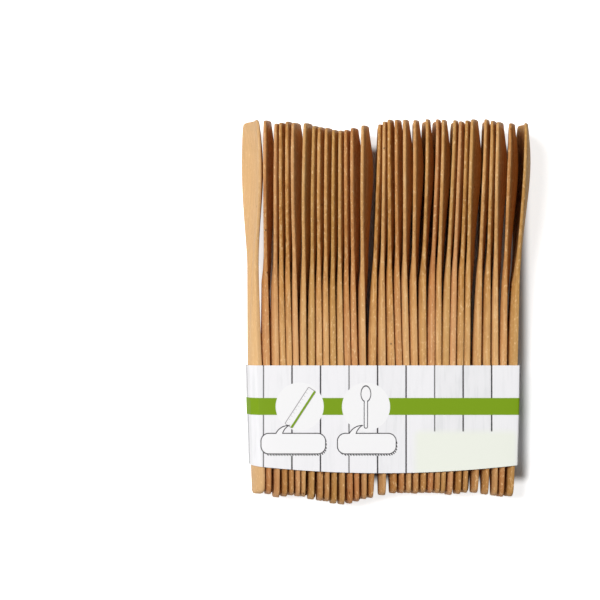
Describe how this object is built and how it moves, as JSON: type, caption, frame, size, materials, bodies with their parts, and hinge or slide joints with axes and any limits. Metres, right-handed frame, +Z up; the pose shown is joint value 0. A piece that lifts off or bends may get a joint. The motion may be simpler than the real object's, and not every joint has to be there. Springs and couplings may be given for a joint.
{
  "type": "pack of ice cream spoons",
  "caption": "Moulded ice cream spoons nested on edge in one row and held round their handles by a printed paper band, lying flat.",
  "frame": {"origin": "the centre of the pack's bounding box, on the surface that the pack lies on", "axes": "+Y along the spoons towards their bowls, +X along the row away from the side that the dished faces turn to, +Z up through the band's printed front"},
  "size_m": [0.0744, 0.0982, 0.0211],
  "materials": {
    "spoon_fibre": "satin",
    "band_paper": "matte"
  },
  "bodies": {
    "root": {"spoon_01": "spoon_fibre", "spoon_02": "spoon_fibre", "spoon_03": "spoon_fibre", "spoon_04": "spoon_fibre", "spoon_05": "spoon_fibre", "spoon_06": "spoon_fibre", "spoon_07": "spoon_fibre", "spoon_08": "spoon_fibre", "spoon_09": "spoon_fibre", "spoon_10": "spoon_fibre", "spoon_11": "spoon_fibre", "spoon_12": "spoon_fibre", "spoon_13": "spoon_fibre", "spoon_14": "spoon_fibre", "spoon_15": "spoon_fibre", "spoon_16": "spoon_fibre", "spoon_17": "spoon_fibre", "spoon_18": "spoon_fibre", "spoon_19": "spoon_fibre", "spoon_20": "spoon_fibre", "spoon_21": "spoon_fibre", "spoon_22": "spoon_fibre", "spoon_23": "spoon_fibre", "spoon_24": "spoon_fibre", "spoon_25": "spoon_fibre", "spoon_26": "spoon_fibre", "spoon_27": "spoon_fibre", "spoon_28": "spoon_fibre", "spoon_29": "spoon_fibre", "spoon_30": "spoon_fibre", "spoon_31": "spoon_fibre", "spoon_32": "spoon_fibre", "spoon_33": "spoon_fibre", "paper_band": "band_paper"}
  },
  "joints": []
}
